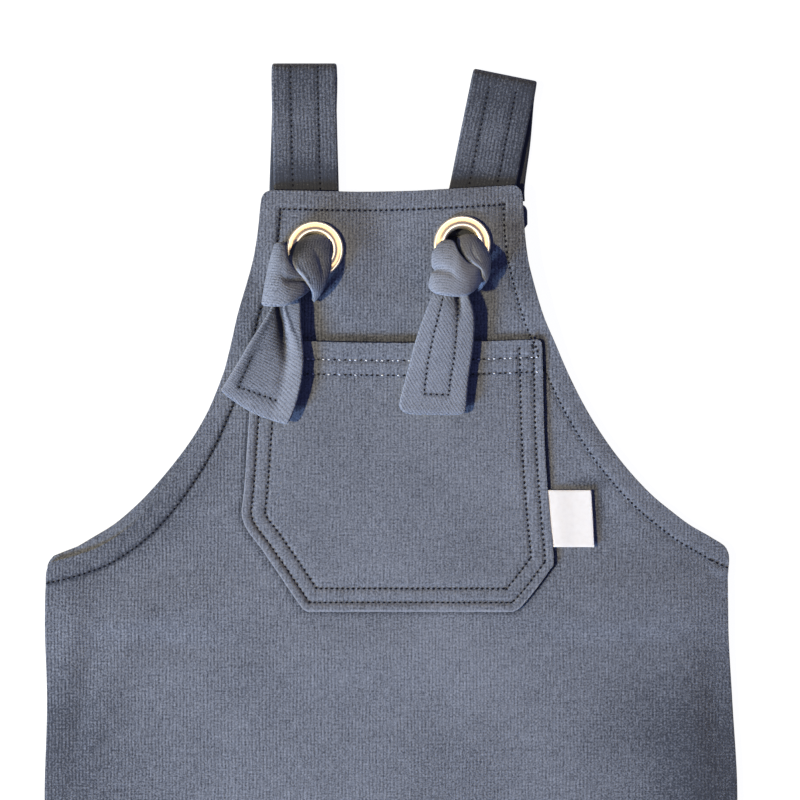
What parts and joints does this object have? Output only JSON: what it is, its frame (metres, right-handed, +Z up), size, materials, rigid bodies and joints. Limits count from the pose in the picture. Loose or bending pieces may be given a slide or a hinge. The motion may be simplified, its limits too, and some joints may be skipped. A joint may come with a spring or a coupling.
{
  "type": "dungarees",
  "caption": "Child's dungarees in jersey laid flat, with a bib, patch pocket, blank side label and straps knotted through metal eyelets.",
  "frame": {"origin": "centre of the garment's plan box, on the surface it lies on", "axes": "+X across the garment to the right of the picture, +Y from the leg hems to the shoulder folds, +Z up from the surface, out of the front"},
  "size_m": [0.3049, 0.6461, 0.0221],
  "materials": {
    "jersey": "matte slate sweat jersey with fine lengthwise knit ribs",
    "woven_tape": "smooth white woven tape",
    "nickel": "polished nickel plate"
  },
  "bodies": {
    "root": {"back": "jersey", "front": "jersey", "pocket": "jersey", "label": "woven_tape", "strap_left": "jersey", "strap_right": "jersey", "eyelet_left": "nickel", "eyelet_right": "nickel", "washer_left": "nickel", "washer_right": "nickel"}
  },
  "joints": []
}
